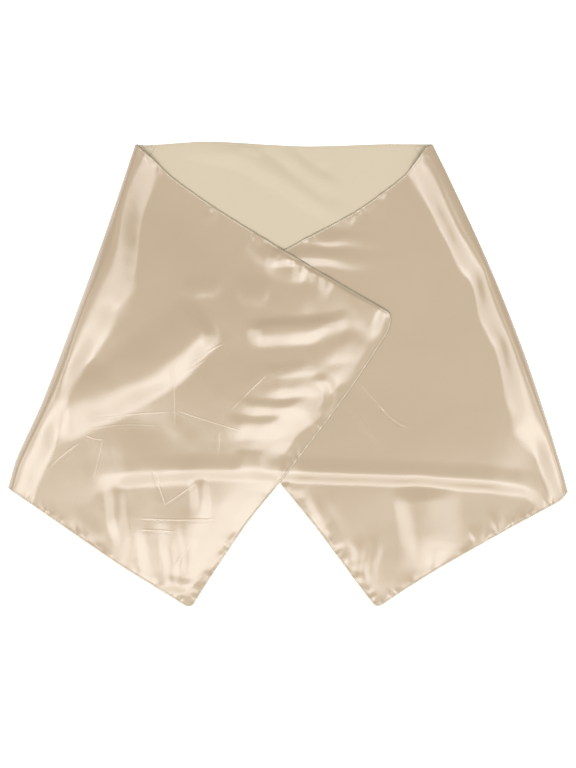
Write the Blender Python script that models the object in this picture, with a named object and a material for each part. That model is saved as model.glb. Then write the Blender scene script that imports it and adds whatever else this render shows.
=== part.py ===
"""Evening stole of satin, laid flat and seen from above.

The stole is one long rectangle of cloth with a narrow turned hem all round. Its
middle lies face down and is the back. At each side the cloth rolls over in a
soft fold, and its two ends come forward, face up, and cross in front: the right
end lies on the back, and the left end on both. Beyond the back's lower hem the
two tips step down to the surface that the stole lies on.

Lengths are in millimetres up to the last step, which makes the meshes in metres.
X runs to the right, Y towards the neck edge and Z up from the surface.
"""

import math
from collections import namedtuple

import bmesh
import bpy
import numpy as np

METRES = 0.001

# The cloth and its hem
WALL = 1.2
HEM_WIDTH = 5.0
HEM_THICK = 2.0
GAP = 0.3
LAYER = HEM_THICK + GAP
CROSSING_SLACK = 0.5
CLOTH_WIDTH = 705.0

# The two soft folds at the sides
CURL_HEIGHT = 9.0
CURL_DEPTH = 9.0
CREST_INSET = 46.0
ROLL_LIFT = 13.0
ROLL_LENGTH = 85.0
PUFF_LIFT = 9.0
PUFF_LENGTH = 190.0
FOLD_UNDER = 42.0
FOLD_OVER = 14.0

# How a stretch comes down past the edge of what it lies on
STEP_START = 12.0
STEP_LENGTH = 30.0
EASE_START = 12.0
EASE_LENGTH = 44.0

# Stations along and across each piece
FRONT_STATIONS = 27
ACROSS_STATIONS = 25
BACK_STATIONS = 26
FOLD_STATIONS = 15
NECK_CROWDING = 1.15

Point = namedtuple("Point", "x y")

# Outline of each stretch from above, from the fold's neck end outwards
NECK_LEFT = Point(-304.8, 462.0)
NECK_RIGHT = Point(289.2, 461.8)
FOOT_LEFT = Point(-559.6, -225.2)
FOOT_RIGHT = Point(559.6, -233.2)
LEFT_TOP_CORNER = Point(208.0, 117.0)
LEFT_TIP = Point(-197.0, -466.0)
RIGHT_TOP_CORNER = Point(-243.8, 88.8)
RIGHT_TIP = Point(180.0, -465.0)

EDGES = {
    "back neck": (
        NECK_LEFT,
        Point(-283.8, 460.0),
        Point(-163.8, 467.2),
        Point(38.2, 458.0),
        Point(194.2, 462.4),
        NECK_RIGHT,
    ),
    "back lower": (
        FOOT_LEFT,
        Point(-470.0, -196.0),
        Point(-376.0, -178.0),
        Point(-190.0, -168.0),
        Point(244.0, -182.0),
        Point(464.0, -198.0),
        FOOT_RIGHT,
    ),
    "left fold": (
        NECK_LEFT,
        Point(-368.6, 274.0),
        Point(-435.2, 92.8),
        Point(-491.8, -55.2),
        Point(-543.2, -168.0),
        FOOT_LEFT,
    ),
    "right fold": (
        NECK_RIGHT,
        Point(320.2, 398.8),
        Point(402.2, 220.8),
        Point(466.2, 60.8),
        Point(514.2, -79.2),
        Point(551.0, -199.2),
        FOOT_RIGHT,
    ),
    "left upper": (
        NECK_LEFT,
        Point(-272.4, 435.4),
        Point(-232.2, 397.4),
        Point(-141.8, 333.4),
        Point(-5.8, 249.2),
        Point(164.2, 149.8),
        Point(201.0, 127.6),
        LEFT_TOP_CORNER,
    ),
    "left end": (
        LEFT_TOP_CORNER,
        Point(201.2, 89.8),
        Point(120.2, -34.2),
        Point(-16.4, -215.2),
        Point(-80.8, -295.2),
        Point(-160.4, -413.2),
        Point(-190.0, -460.0),
        LEFT_TIP,
    ),
    "left lower": (
        FOOT_LEFT,
        Point(-455.8, -297.2),
        Point(-333.8, -381.2),
        Point(-259.8, -427.2),
        LEFT_TIP,
    ),
    "right upper": (
        NECK_RIGHT,
        Point(276.0, 456.0),
        Point(258.2, 432.0),
        Point(232.2, 399.8),
        Point(138.2, 330.2),
        Point(-3.8, 252.8),
        Point(-125.8, 172.8),
        RIGHT_TOP_CORNER,
    ),
    "right end": (
        RIGHT_TOP_CORNER,
        Point(-130.0, -64.0),
        Point(-16.4, -215.2),
        Point(55.0, -303.8),
        Point(149.0, -430.2),
        Point(173.0, -460.0),
        RIGHT_TIP,
    ),
    "right lower": (
        FOOT_RIGHT,
        Point(543.4, -251.2),
        Point(438.2, -309.2),
        Point(309.0, -382.4),
        Point(233.2, -429.2),
        RIGHT_TIP,
    ),
}

# The largest soft ridges: crest from start to end, its width on the side
# towards the neck and on the side towards the tips, and its height
Ridge = namedtuple("Ridge", "start end neck_side tip_side height")

RIDGES = {
    "back": (
        Ridge(Point(-196.0, 452.0), Point(60.0, 338.0), 34.0, 34.0, 5.0),
        Ridge(Point(-40.0, 452.0), Point(100.0, 372.0), 34.0, 34.0, 4.0),
    ),
    "left": (
        Ridge(Point(-130.0, 132.0), Point(-440.0, -20.0), 90.0, 62.0, 6.5),
        Ridge(Point(-70.0, 92.0), Point(150.0, 96.0), 60.0, 36.0, 4.0),
        Ridge(Point(-200.0, 196.0), Point(20.0, 168.0), 60.0, 44.0, 3.5),
        Ridge(Point(-128.0, -40.0), Point(-160.0, -330.0), 70.0, 70.0, 4.5),
    ),
    "right": (
        Ridge(Point(236.0, -250.0), Point(210.0, -400.0), 60.0, 60.0, 4.0),
        Ridge(Point(380.0, 90.0), Point(300.0, -120.0), 80.0, 80.0, 4.0),
    ),
}

# Height of the side roll along the fold, from the neck end to the foot end
ROLL_SHARE = {
    "along": (0.0, 0.12, 0.4, 0.65, 0.88, 1.0),
    "left": (0.62, 0.86, 1.0, 0.95, 0.8, 0.66),
    "right": (0.72, 0.92, 0.9, 1.0, 0.86, 0.62),
}


def smooth_curve(points, steps=24):
    """A dense smooth line through the points, with its length at each of its own points."""
    fixed = np.array(points, dtype=float)
    before = 2.0 * fixed[0] - fixed[1]
    after = 2.0 * fixed[-1] - fixed[-2]
    padded = np.vstack([before, fixed, after])
    share = np.linspace(0.0, 1.0, steps, endpoint=False)[:, None]
    runs = []
    for index in range(len(fixed) - 1):
        a, b, c, d = padded[index : index + 4]
        slope_b = 0.5 * (c - a) * min(1.0, np.linalg.norm(c - b) / np.linalg.norm(b - a))
        slope_c = 0.5 * (d - b) * min(1.0, np.linalg.norm(c - b) / np.linalg.norm(d - c))
        h1 = 2.0 * share**3 - 3.0 * share**2 + 1.0
        h2 = share**3 - 2.0 * share**2 + share
        h3 = -2.0 * share**3 + 3.0 * share**2
        h4 = share**3 - share**2
        runs.append(h1 * b + h2 * slope_b + h3 * c + h4 * slope_c)
    line = np.vstack(runs + [fixed[-1:]])
    spans = np.linalg.norm(np.diff(line, axis=0), axis=1)
    return line, np.concatenate([[0.0], np.cumsum(spans)])


CURVES = {name: smooth_curve(points) for name, points in EDGES.items()}


def along(edge, share):
    """Point on an edge at a share of its length."""
    line, length = CURVES[edge]
    at = np.asarray(share) * length[-1]
    return np.stack([np.interp(at, length, line[:, 0]), np.interp(at, length, line[:, 1])], axis=-1)


def edge_length(edge):
    """Full length of an edge."""
    return CURVES[edge][1][-1]


def patch(first, last, near, far, p, q):
    """Point between four edges: near and far run along p, first and last along q."""
    p = np.asarray(p, dtype=float)[..., None]
    q = np.asarray(q, dtype=float)[..., None]
    sides = (1.0 - q) * along(near, p[..., 0]) + q * along(far, p[..., 0])
    ends = (1.0 - p) * along(first, q[..., 0]) + p * along(last, q[..., 0])
    corners = (
        (1.0 - p) * (1.0 - q) * along(near, 0.0)
        + p * (1.0 - q) * along(near, 1.0)
        + (1.0 - p) * q * along(far, 0.0)
        + p * q * along(far, 1.0)
    )
    return sides + ends - corners


def ease(start, end, value):
    """Smooth rise from 0 at start to 1 at end."""
    share = np.clip((value - start) / (end - start), 0.0, 1.0)
    return share * share * (3.0 - 2.0 * share)


def ridge_height(stretch, plan):
    """Height that the stretch's soft ridges add at a point seen from above."""
    total = np.zeros(plan.shape[:-1])
    for ridge in RIDGES[stretch]:
        start = np.array(ridge.start)
        run = np.array(ridge.end) - start
        length = np.linalg.norm(run)
        forward = run / length
        toward_neck = np.array([-forward[1], forward[0]])
        if toward_neck[1] < 0.0:
            toward_neck = -toward_neck
        offset = plan - start
        share = (offset @ forward) / length
        side = offset @ toward_neck
        width = np.where(side > 0.0, ridge.neck_side, ridge.tip_side)
        across = np.clip(1.0 - (side / width) ** 2, 0.0, 1.0) ** 2
        ends = ease(-0.18, 0.25, share) * (1.0 - ease(0.75, 1.18, share))
        total += ridge.height * across * ends
    return total


def past_line(edge, plan, turn):
    """Distance of a point past an edge, on the side that turn names, along straight pieces."""
    line, _ = CURVES[edge]
    starts = line[:-1]
    runs = line[1:] - starts
    spans = np.maximum((runs**2).sum(axis=1), 1e-9)
    offset = plan[..., None, :] - starts
    share = np.clip((offset * runs).sum(axis=-1) / spans, 0.0, 1.0)
    nearest = starts + share[..., None] * runs
    gaps = plan[..., None, :] - nearest
    distance = np.linalg.norm(gaps, axis=-1)
    best = distance.argmin(axis=-1)
    run = runs[best]
    gap = np.take_along_axis(gaps, best[..., None, None], axis=-2)[..., 0, :]
    cross = run[..., 0] * gap[..., 1] - run[..., 1] * gap[..., 0]
    return np.where(cross * turn > 0.0, 1.0, -1.0) * distance.min(axis=-1)


def over_back(plan):
    """1 where a stretch lies on the back, falling to 0 past the back's lower hem."""
    beyond = past_line("back lower", plan, -1.0)
    return 1.0 - ease(STEP_START, STEP_START + STEP_LENGTH, beyond)


def over_right(plan):
    """1 where the left stretch lies on the right one, falling to 0 past its hidden edges."""
    beyond_upper = past_line("right upper", plan, -1.0)
    beyond_end = past_line("right end", plan, -1.0)
    beyond = np.maximum(beyond_upper, beyond_end)
    return 1.0 - ease(EASE_START, EASE_START + EASE_LENGTH, beyond)


def roll_share(side, q):
    """How full the side roll is at a share of the way down the fold."""
    return np.interp(q, ROLL_SHARE["along"], ROLL_SHARE[side])


def front_length(side, q):
    """Length of the front stretch along its thread, at a share of its width."""
    return (1.0 - q) * edge_length(side + " upper") + q * edge_length(side + " lower")


def front_plan(side, distance, q):
    """Point of a front stretch from above, at a distance from the fold."""
    share = distance / front_length(side, q)
    return patch(side + " fold", side + " end", side + " upper", side + " lower", share, q)


def front_height(side, plan, distance, q):
    """Height of the front stretch's face."""
    fullness = roll_share(side, q)
    roll = ROLL_LIFT * (1.0 - ease(CREST_INSET, CREST_INSET + ROLL_LENGTH, distance))
    puff = PUFF_LIFT * (1.0 - ease(CREST_INSET, CREST_INSET + PUFF_LENGTH, distance))
    base = WALL + LAYER * over_back(plan)
    if side == "left":
        base = base + (LAYER + CROSSING_SLACK) * over_right(plan)
    fade = ease(CREST_INSET, CREST_INSET + 0.5 * ROLL_LENGTH, distance)
    return base + fullness * (roll + puff) + fade * ridge_height(side, plan)


def back_plan(side, distance, q):
    """Point of the back from above, at a distance from one side's fold."""
    span = (1.0 - q) * edge_length("back neck") + q * edge_length("back lower")
    share = distance / span
    if side == "right":
        share = 1.0 - share
    return patch("left fold", "right fold", "back neck", "back lower", share, q)


def fold_face(side, turn, q):
    """Face of the cloth round a side fold.

    Turn is below -1 on the under leg, -1 to 0 round the lower curl, 0 at the
    outermost line, 0 to 1 up to the crest and above 1 on the upper leg. On both
    legs it grows by 1 for each CREST_INSET of distance.
    """
    turn, q = np.broadcast_arrays(np.asarray(turn, dtype=float), np.asarray(q, dtype=float))
    lower = np.clip(turn + 1.0, 0.0, 1.0) * math.pi / 2.0
    upper = np.clip(turn, 0.0, 1.0) * math.pi / 2.0
    under_leg = np.clip(-1.0 - turn, 0.0, None) * CREST_INSET
    upper_leg = np.clip(turn - 1.0, 0.0, None) * CREST_INSET
    fullness = roll_share(side, q)
    curl = CURL_HEIGHT * fullness

    below = under_leg + CURL_DEPTH * (1.0 - np.sin(lower))
    above = upper_leg + CREST_INSET * (1.0 - np.cos(upper))
    is_upper = turn > 0.0
    plan_above = front_plan(side, above, q)
    plan = np.where(is_upper[..., None], plan_above, back_plan(side, below, q))
    top = front_height(side, plan_above, above, q)
    height_above = curl + (top - curl) * np.sin(upper)
    height_below = curl * (1.0 - np.cos(lower))
    height = np.where(is_upper, height_above, height_below)
    return np.concatenate([plan, height[..., None]], axis=-1)


def front_turn(distance):
    """Turn that stands for a distance beyond the crest."""
    return 1.0 + (distance - CREST_INSET) / CREST_INSET


def face_normal(side, turn, q):
    """Direction that the cloth's face looks, round the fold and on the front stretch."""
    small_turn = 0.01
    small_q = 0.004
    turn, q = np.broadcast_arrays(np.asarray(turn, dtype=float), np.asarray(q, dtype=float))
    q_high = np.minimum(q + small_q, 1.0)
    q_low = np.maximum(q - small_q, 0.0)
    by_turn = fold_face(side, turn + small_turn, q) - fold_face(side, turn - small_turn, q)
    by_q = fold_face(side, turn, q_high) - fold_face(side, turn, q_low)
    normal = np.cross(by_turn, by_q)
    if side == "left":
        normal = -normal
    return normal / np.linalg.norm(normal, axis=-1, keepdims=True)


def add_object(name, vertices, faces, material):
    """One named object from points in millimetres."""
    mesh = bpy.data.meshes.new(name)
    mesh.from_pydata([tuple(METRES * value for value in vertex) for vertex in vertices], [], faces)
    outward = bmesh.new()
    outward.from_mesh(mesh)
    bmesh.ops.recalc_face_normals(outward, faces=outward.faces)
    outward.to_mesh(mesh)
    outward.free()
    mesh.materials.append(material)
    mesh.shade_smooth()
    mesh.set_sharp_from_angle(angle=math.radians(50.0))
    thing = bpy.data.objects.new(name, mesh)
    bpy.context.scene.collection.objects.link(thing)
    return thing


def wall(name, face, reverse, material):
    """A closed wall between a grid of face points and the grid behind it."""
    rows, columns = face.shape[:2]
    vertices = np.vstack([face.reshape(-1, 3), reverse.reshape(-1, 3)])
    behind = rows * columns

    def at(row, column):
        return row * columns + column

    faces = []
    for row in range(rows - 1):
        for column in range(columns - 1):
            quad = (at(row, column), at(row + 1, column), at(row + 1, column + 1), at(row, column + 1))
            faces.append(quad)
            faces.append(tuple(behind + corner for corner in reversed(quad)))
    rim = [at(0, column) for column in range(columns)]
    rim += [at(row, columns - 1) for row in range(1, rows)]
    rim += [at(rows - 1, column) for column in range(columns - 2, -1, -1)]
    rim += [at(row, 0) for row in range(rows - 2, 0, -1)]
    for here, after in zip(rim, rim[1:] + rim[:1]):
        faces.append((here, after, behind + after, behind + here))
    return add_object(name, vertices, faces, material)


def bead(name, sections, material):
    """A closed bar through a row of ring sections, one after another."""
    count, size = sections.shape[:2]
    faces = []
    for index in range(count - 1):
        for corner in range(size):
            after = (corner + 1) % size
            here = index * size
            ahead = here + size
            faces.append((here + corner, here + after, ahead + after, ahead + corner))
    faces.append(tuple(reversed(range(size))))
    last = (count - 1) * size
    faces.append(tuple(range(last, last + size)))
    return add_object(name, sections.reshape(-1, 3), faces, material)


# Share of the hem's width, and height above the cloth's reverse, round its section
HEM_SECTION = {
    "width": (0.0, 0.0, 0.42, 0.82, 1.0, 0.84),
    "height": (0.0, 0.86, 1.0, 0.86, 0.45, 0.0),
}

Q_HEM = HEM_WIDTH / CLOTH_WIDTH
Q_PANEL = (HEM_WIDTH + GAP) / CLOTH_WIDTH


def panel_shares():
    """Stations across every panel, between its two long hems, closer near the neck edge."""
    evenly = np.linspace(0.0, 1.0, ACROSS_STATIONS)
    return Q_PANEL + (1.0 - 2.0 * Q_PANEL) * evenly**NECK_CROWDING


def front_start():
    """Distance from the fold at which the front panel begins."""
    return CREST_INSET + FOLD_OVER + GAP


def front_distances(side, shares):
    """Distance from the fold of each station of a front panel, and the shares across it."""
    evenly, q = np.meshgrid(np.linspace(0.0, 1.0, FRONT_STATIONS), shares, indexing="ij")
    last = front_length(side, q) - HEM_WIDTH - GAP
    return front_start() + evenly * (last - front_start()), q


def build_fold(side, material):
    """The cloth where it turns over at one side, with its hem at both ends."""
    under = -1.0 - FOLD_UNDER / CREST_INSET
    over = front_turn(CREST_INSET + FOLD_OVER)
    curl = np.linspace(-1.0, 1.0, FOLD_STATIONS - 4)
    turns = np.concatenate([[under, 0.5 * (under - 1.0)], curl, [0.5 * (over + 1.0), over]])
    inner = panel_shares()
    shares = np.concatenate([[0.0, Q_HEM], inner, [1.0 - Q_HEM, 1.0]])
    turn, q = np.meshgrid(turns, shares, indexing="ij")
    face = fold_face(side, turn, q)
    in_hem = (q <= Q_HEM) | (q >= 1.0 - Q_HEM)
    thickness = np.where(in_hem, HEM_THICK - 0.3, WALL)
    reverse = face - face_normal(side, turn, q) * thickness[..., None]
    return wall(side + "_fold", face, reverse, material)


def build_front(side, material):
    """One end of the stole, from its side fold to its short end."""
    distance, q = front_distances(side, panel_shares())
    turn = front_turn(distance)
    face = fold_face(side, turn, q)
    reverse = face - face_normal(side, turn, q) * WALL
    return wall(side + "_front", face, reverse, material)


def hem_points(side, distance, q):
    """Ring sections of a front hem: one row for each station, one column round the section."""
    turn = front_turn(distance)
    face = fold_face(side, turn, q)
    normal = face_normal(side, turn, q)
    height = np.array(HEM_SECTION["height"]) * HEM_THICK - WALL
    return face + normal * height[None, :, None]


def build_long_hem(side, edge, material):
    """Hem of a front stretch along its upper or lower long edge."""
    width = np.array(HEM_SECTION["width"]) * HEM_WIDTH / CLOTH_WIDTH
    across = Q_HEM - width
    if edge == "lower":
        across = 1.0 - across
    distance, q = front_distances(side, across)
    corner = front_length(side, across)
    distance = np.vstack([distance, corner])
    q = np.vstack([q, across])
    sections = hem_points(side, distance, q)
    return bead(side + "_" + edge + "_hem", sections, material)


def build_end_hem(side, material):
    """Hem of a front stretch across its short end."""
    width = np.array(HEM_SECTION["width"]) * HEM_WIDTH
    q, inset = np.meshgrid(panel_shares(), HEM_WIDTH - width, indexing="ij")
    distance = front_length(side, q) - inset
    sections = hem_points(side, distance, q)
    return bead(side + "_end_hem", sections, material)


def back_height(plan):
    """Height of the back's face above the surface: 0 but for its soft ridges."""
    return ridge_height("back", plan)


def back_points(share, q):
    """Face of the back, at a share of the way from the left fold node to the right one."""
    span = (1.0 - q) * edge_length("back neck") + q * edge_length("back lower")
    inset = CURL_DEPTH + FOLD_UNDER + GAP
    distance = inset + share * (span - 2.0 * inset)
    plan = back_plan("left", distance, q)
    return np.concatenate([plan, back_height(plan)[..., None]], axis=-1)


def build_back(material):
    """The middle of the stole, face down, with its reverse showing between the fronts."""
    share, q = np.meshgrid(np.linspace(0.0, 1.0, BACK_STATIONS), panel_shares(), indexing="ij")
    face = back_points(share, q)
    reverse = face + np.array([0.0, 0.0, WALL])
    return wall("back_panel", face, reverse, material)


def build_back_hem(edge, material):
    """Hem of the back along its neck edge or its lower edge."""
    width = np.array(HEM_SECTION["width"]) * HEM_WIDTH / CLOTH_WIDTH
    across = Q_HEM - width
    if edge == "lower":
        across = 1.0 - across
    share, q = np.meshgrid(np.linspace(0.0, 1.0, BACK_STATIONS), across, indexing="ij")
    sections = back_points(share, q)
    sections[..., 2] += np.array(HEM_SECTION["height"])[None, :] * HEM_THICK
    return bead("back_" + edge + "_hem", sections, material)


def make_material(name, colour, roughness, sheen):
    """A cloth finish."""
    material = bpy.data.materials.new(name)
    material.use_nodes = True
    shader = material.node_tree.nodes["Principled BSDF"]
    shader.inputs["Base Color"].default_value = (*colour, 1.0)
    shader.inputs["Roughness"].default_value = roughness
    shader.inputs["Metallic"].default_value = 0.0
    shader.inputs["Sheen Weight"].default_value = sheen
    material.diffuse_color = (*colour, 1.0)
    return material


def clear_scene():
    """Empty the scene before the stole is made."""
    for thing in list(bpy.data.objects):
        bpy.data.objects.remove(thing, do_unlink=True)


def main():
    """Make every piece of the stole."""
    clear_scene()
    satin = make_material("champagne satin face", (0.60, 0.48, 0.33), 0.32, 0.0)
    hem_satin = make_material("satin hem", (0.64, 0.53, 0.38), 0.36, 0.0)
    reverse = make_material("satin reverse", (0.72, 0.62, 0.46), 0.6, 0.1)
    hem_reverse = make_material("hem reverse", (0.70, 0.59, 0.44), 0.6, 0.1)

    build_back(reverse)
    for edge in ("neck", "lower"):
        build_back_hem(edge, hem_reverse)
    for side in ("left", "right"):
        build_fold(side, satin)
        build_front(side, satin)
        build_end_hem(side, hem_satin)
        for edge in ("upper", "lower"):
            build_long_hem(side, edge, hem_satin)


main()
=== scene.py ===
# %% [markdown]
# # An evening stole of satin, laid flat
#
# A stole is the simplest garment there is: one long rectangle of cloth with a
# narrow turned hem all round. This one lies on a pale table and is seen from
# straight above. Its middle is face down and is the back, so the matt reverse
# of the satin shows in the neck. At each side the cloth rolls over in a soft
# fold, and its two glossy ends come forward and cross, the left over the right.
#
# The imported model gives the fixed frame. Its solids are plain, and this script
# puts thin cloth in their place: the same outline, with the small folds, the
# puckered hem, the stitches and the lustre that make satin look like satin.

# %% The frame
import math
from collections import namedtuple

import bmesh
import bpy
import numpy as np
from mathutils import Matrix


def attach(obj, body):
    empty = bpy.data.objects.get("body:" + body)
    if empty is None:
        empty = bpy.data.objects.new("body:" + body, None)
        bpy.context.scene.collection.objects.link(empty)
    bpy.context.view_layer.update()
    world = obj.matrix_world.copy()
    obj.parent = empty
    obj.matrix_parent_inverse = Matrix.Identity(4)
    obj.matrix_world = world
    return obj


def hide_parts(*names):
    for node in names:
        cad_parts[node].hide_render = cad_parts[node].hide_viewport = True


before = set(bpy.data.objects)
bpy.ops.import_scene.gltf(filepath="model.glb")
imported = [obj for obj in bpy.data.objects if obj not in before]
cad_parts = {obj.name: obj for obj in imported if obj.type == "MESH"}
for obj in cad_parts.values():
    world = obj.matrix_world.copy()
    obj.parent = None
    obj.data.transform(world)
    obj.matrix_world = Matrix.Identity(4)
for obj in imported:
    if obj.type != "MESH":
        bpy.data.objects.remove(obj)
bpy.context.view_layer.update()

# %% [markdown]
# ## Sizes
#
# Cloth is measured in millimetres here, and a mesh is scaled to metres when it
# is made. The outline is the one that the solids have: each edge is a smooth
# curve through a few points, X to the right and Y towards the neck. The layers
# are the heights by which a cloth lies above what is under it.

# %% Sizes of the cloth and of its outline
MM = 0.001
CLOTH_WIDTH = 705.0
CLOTH_THICK = 0.4
SOLID_WALL = 1.2
HEM_WIDTH = 4.8
HEM_THICK = 1.7
LAYER = 0.9
CROSSING_LAYER = 2.2
CORNER_RADIUS = 11.0

Point = namedtuple("Point", "x y")

NECK_LEFT = Point(-304.8, 462.0)
NECK_RIGHT = Point(289.2, 461.8)
FOOT_LEFT = Point(-559.6, -225.2)
FOOT_RIGHT = Point(559.6, -233.2)
LEFT_TOP_CORNER = Point(208.0, 117.0)
LEFT_TIP = Point(-197.0, -466.0)
RIGHT_TOP_CORNER = Point(-243.8, 88.8)
RIGHT_TIP = Point(180.0, -465.0)

EDGES = {
    "back neck": (
        NECK_LEFT,
        Point(-283.8, 460.0),
        Point(-163.8, 467.2),
        Point(38.2, 458.0),
        Point(194.2, 462.4),
        NECK_RIGHT,
    ),
    "back lower": (
        FOOT_LEFT,
        Point(-470.0, -196.0),
        Point(-376.0, -178.0),
        Point(-190.0, -168.0),
        Point(244.0, -182.0),
        Point(464.0, -198.0),
        FOOT_RIGHT,
    ),
    "left fold": (
        NECK_LEFT,
        Point(-368.6, 274.0),
        Point(-435.2, 92.8),
        Point(-491.8, -55.2),
        Point(-543.2, -168.0),
        FOOT_LEFT,
    ),
    "right fold": (
        NECK_RIGHT,
        Point(320.2, 398.8),
        Point(402.2, 220.8),
        Point(466.2, 60.8),
        Point(514.2, -79.2),
        Point(551.0, -199.2),
        FOOT_RIGHT,
    ),
    "left upper": (
        NECK_LEFT,
        Point(-272.4, 435.4),
        Point(-232.2, 397.4),
        Point(-141.8, 333.4),
        Point(-5.8, 249.2),
        Point(164.2, 149.8),
        Point(201.0, 127.6),
        LEFT_TOP_CORNER,
    ),
    "left end": (
        LEFT_TOP_CORNER,
        Point(201.2, 89.8),
        Point(120.2, -34.2),
        Point(-16.4, -215.2),
        Point(-80.8, -295.2),
        Point(-160.4, -413.2),
        Point(-190.0, -460.0),
        LEFT_TIP,
    ),
    "left lower": (
        FOOT_LEFT,
        Point(-455.8, -297.2),
        Point(-333.8, -381.2),
        Point(-259.8, -427.2),
        LEFT_TIP,
    ),
    "right upper": (
        NECK_RIGHT,
        Point(276.0, 456.0),
        Point(258.2, 432.0),
        Point(232.2, 399.8),
        Point(138.2, 330.2),
        Point(-3.8, 252.8),
        Point(-125.8, 172.8),
        RIGHT_TOP_CORNER,
    ),
    "right end": (
        RIGHT_TOP_CORNER,
        Point(-130.0, -64.0),
        Point(-16.4, -215.2),
        Point(55.0, -303.8),
        Point(149.0, -430.2),
        Point(173.0, -460.0),
        RIGHT_TIP,
    ),
    "right lower": (
        FOOT_RIGHT,
        Point(543.4, -251.2),
        Point(438.2, -309.2),
        Point(309.0, -382.4),
        Point(233.2, -429.2),
        RIGHT_TIP,
    ),
}
print(len(EDGES), "edges")

# %% [markdown]
# ## Curves and patches
#
# A sheet that is folded flat keeps its threads almost straight, so four edges
# settle where every thread lies. A Coons patch blends those edges: give it a
# share of the way along and a share of the way across, and it returns the
# place. All the work is done on whole arrays of points at once, because a
# fine cloth has forty thousand of them.


# %% Curves and patches
def ease(start, end, value):
    """Smooth rise from 0 at start to 1 at end."""
    share = np.clip((value - start) / (end - start), 0.0, 1.0)
    return share * share * (3.0 - 2.0 * share)


def smooth_curve(points, steps=24):
    """A dense smooth line through the points, with its running length."""
    fixed = np.array(points, dtype=float)
    padded = np.vstack([2.0 * fixed[0] - fixed[1], fixed, 2.0 * fixed[-1] - fixed[-2]])
    t = np.linspace(0.0, 1.0, steps, endpoint=False)[:, None]
    runs = []
    for index in range(len(fixed) - 1):
        a, b, c, d = padded[index : index + 4]
        middle = np.linalg.norm(c - b)
        slope_b = 0.5 * (c - a) * min(1.0, middle / np.linalg.norm(b - a))
        slope_c = 0.5 * (d - b) * min(1.0, middle / np.linalg.norm(d - c))
        leave = (2.0 * t**3 - 3.0 * t**2 + 1.0) * b + (t**3 - 2.0 * t**2 + t) * slope_b
        arrive = (3.0 * t**2 - 2.0 * t**3) * c + (t**3 - t**2) * slope_c
        runs.append(leave + arrive)
    line = np.vstack(runs + [fixed[-1:]])
    spans = np.linalg.norm(np.diff(line, axis=0), axis=1)
    return line, np.concatenate([[0.0], np.cumsum(spans)])


CURVES = {name: smooth_curve(points) for name, points in EDGES.items()}


def along(edge, share):
    """Point on an edge at a share of its length."""
    line, length = CURVES[edge]
    at = np.asarray(share, dtype=float) * length[-1]
    return np.stack([np.interp(at, length, line[:, 0]), np.interp(at, length, line[:, 1])], axis=-1)


def edge_length(edge):
    """Full length of an edge."""
    return CURVES[edge][1][-1]


def patch(first, last, near, far, p, q):
    """Point between four edges: near and far run along p, first and last along q."""
    wide_p = np.asarray(p, dtype=float)[..., None]
    wide_q = np.asarray(q, dtype=float)[..., None]
    sides = (1.0 - wide_q) * along(near, p) + wide_q * along(far, p)
    ends = (1.0 - wide_p) * along(first, q) + wide_p * along(last, q)
    corners = (
        (1.0 - wide_p) * (1.0 - wide_q) * along(near, 0.0)
        + wide_p * (1.0 - wide_q) * along(near, 1.0)
        + (1.0 - wide_p) * wide_q * along(far, 0.0)
        + wide_p * wide_q * along(far, 1.0)
    )
    return sides + ends - corners


def beside(line, plan):
    """Share of the way along a line, and distance to its left, of points seen from above."""
    starts = line[:-1]
    runs = line[1:] - starts
    lengths = np.linalg.norm(runs, axis=1)
    before = np.concatenate([[0.0], np.cumsum(lengths)])
    best = np.full(len(plan), np.inf)
    share = np.zeros(len(plan))
    side = np.zeros(len(plan))
    for start, run, length, passed in zip(starts, runs, lengths, before):
        offset = plan - start
        t = np.clip(offset @ run / length**2, 0.0, 1.0)
        gap = offset - t[:, None] * run
        distance = np.hypot(gap[:, 0], gap[:, 1])
        nearer = distance < best
        cross = run[0] * gap[:, 1] - run[1] * gap[:, 0]
        best = np.where(nearer, distance, best)
        share = np.where(nearer, (passed + t * length) / before[-1], share)
        side = np.where(nearer, np.sign(cross) * distance, side)
    return share, side


KEPT_EVERY = 6


def past_edge(edge, plan):
    """Distance of points past an edge, positive on its right hand."""
    flat = plan.reshape(-1, 2)
    line = CURVES[edge][0]
    line = np.vstack([line[:-1:KEPT_EVERY], line[-1:]])
    return -beside(line, flat)[1].reshape(plan.shape[:-1])


print("left front", round(edge_length("left upper")), "mm along its upper hem")

# %% [markdown]
# ## Folds in the cloth
#
# No table is quite even and no cloth lies quite flat. The folds that the eye
# picks out were placed one by one: each row of the tables below is the crest
# of a soft ridge, drawn from above, with the distance over which the cloth
# falls away on the left hand and on the right hand of that line. A short
# distance makes a steep, bright flank and a long one a faint shade. A negative
# height is a trough. A little noise bends every line, so none looks ruled.

# %% The folds of each stretch
Fold = namedtuple("Fold", "height left right path fade", defaults=((0.3, 0.3),))

BACK_FOLDS = (
    Fold(6.6, 34, 28, ((-230, 452), (-150, 448), (-80, 428), (20, 368), (96, 320), (130, 296))),
    Fold(4.4, 26, 26, ((-20, 462), (18, 420), (60, 390), (110, 362))),
    Fold(2.4, 16, 16, ((-104, 458), (-66, 450), (-40, 438))),
    Fold(1.5, 30, 30, ((60, 470), (70, 440), (76, 410))),
)

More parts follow.
